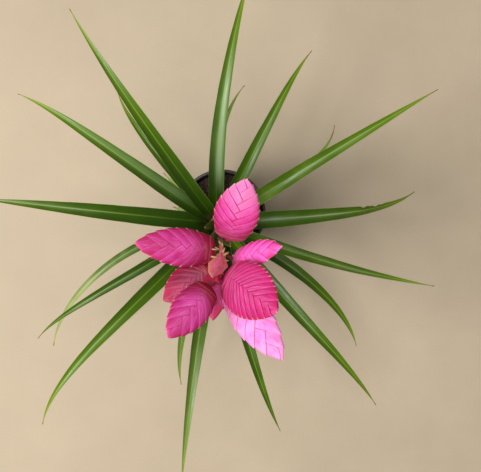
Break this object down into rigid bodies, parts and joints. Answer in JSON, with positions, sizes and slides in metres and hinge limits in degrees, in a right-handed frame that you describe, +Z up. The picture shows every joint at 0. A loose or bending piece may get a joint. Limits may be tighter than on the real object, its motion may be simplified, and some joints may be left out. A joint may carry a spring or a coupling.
{
  "type": "potted tillandsia",
  "caption": "Rosette of arching channelled green leaves with a stalk of flat pink flower spikes, rooted in a small dark plastic nursery pot filled with potting mix.",
  "frame": {"origin": "centre of the pot's flat underside, on the surface that it stands on", "axes": "+Z up along the pot's axis, +Y towards the leaf that points to the picture's top edge, +X to the picture's right"},
  "size_m": [0.5097, 0.5735, 0.3961],
  "materials": {
    "pot": "thin moulded dark brown-black plastic with a soft sheen",
    "potting_mix": "loose dark bark-based mix, rough and damp",
    "crown": "short fibrous stem wrapped in old leaf bases",
    "leaf": "leathery living leaf, semi-gloss, finely lined along its length",
    "stalk": "smooth green stem with thin green to reddish bracts",
    "bract": "waxy pink bract, semi-gloss, finely veined, paler at its free edge"
  },
  "bodies": {
    "root": {"pot": "pot", "potting_mix": "potting_mix", "crown": "crown", "leaf_01": "leaf", "leaf_02": "leaf", "leaf_03": "leaf", "leaf_04": "leaf", "leaf_05": "leaf", "leaf_06": "leaf", "leaf_07": "leaf", "leaf_08": "leaf", "leaf_09": "leaf", "leaf_10": "leaf", "leaf_11": "leaf", "leaf_12": "leaf", "leaf_13": "leaf", "leaf_14": "leaf", "leaf_15": "leaf", "leaf_16": "leaf", "leaf_17": "leaf", "leaf_18": "leaf", "leaf_19": "leaf", "leaf_20": "leaf", "leaf_21": "leaf", "leaf_22": "leaf", "leaf_23": "leaf", "leaf_24": "leaf", "flower_stalk": "stalk", "flower_spike_1": "bract", "flower_spike_2": "bract", "flower_spike_3": "bract", "flower_spike_4": "bract", "flower_spike_5": "bract", "flower_spike_6": "bract", "flower_spike_7": "bract", "flower_spike_8": "bract"}
  },
  "joints": []
}
